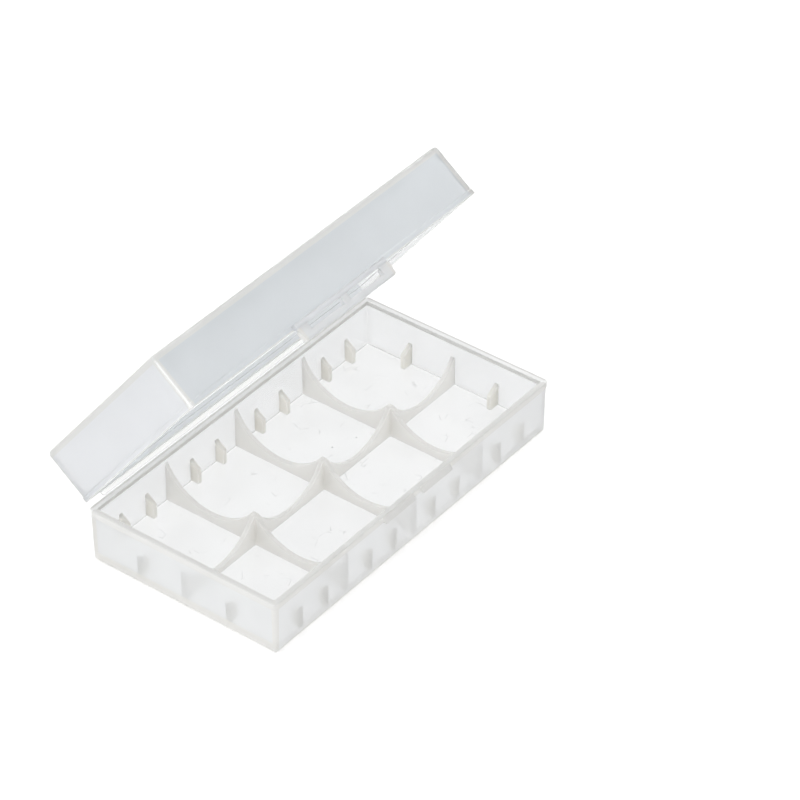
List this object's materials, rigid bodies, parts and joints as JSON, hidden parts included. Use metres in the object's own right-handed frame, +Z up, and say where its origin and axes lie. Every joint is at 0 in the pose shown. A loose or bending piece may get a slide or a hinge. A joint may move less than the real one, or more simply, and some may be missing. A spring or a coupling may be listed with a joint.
{
  "type": "hinged cell storage case",
  "caption": "Shallow translucent plastic case with divided base bays for storing battery cells, a living-hinged lid and a snap latch with see-through windows.",
  "frame": {"origin": "middle of the base's flat underside, which rests on the table", "axes": "+X along the case's length, -Y towards the latch, +Y towards the hinge, +Z up; the lid is stored part open"},
  "size_m": [0.142, 0.0932, 0.0942],
  "materials": {
    "clear_plastic_base": "natural translucent polypropylene, satin",
    "clear_plastic_hinge": "natural translucent polypropylene, thin and smooth",
    "clear_plastic_lid": "natural translucent polypropylene, satin",
    "clear_plastic_latch": "natural translucent polypropylene, satin"
  },
  "bodies": {
    "base": {"base_tray": "clear_plastic_base", "rear_hinge_base_leaf": "clear_plastic_hinge"},
    "lid": {"lid": "clear_plastic_lid", "rear_hinge_lid_leaf": "clear_plastic_hinge"},
    "latch": {"latch_flap": "clear_plastic_latch"}
  },
  "joints": [
    {"name": "lid_hinge", "type": "hinge", "parent": "base", "child": "lid", "pos_m": [0, 0.0399, 0.021], "axis": [-1, 0, 0], "range_deg": [-52.6, 127.4]},
    {"name": "latch_fold", "type": "hinge", "parent": "lid", "child": "latch", "pos_m": [0, -0.00909, 0.08425], "axis": [-1, 0, 0], "range_deg": [0, 30], "stiffness_Nm_per_rad": 0.02}
  ]
}
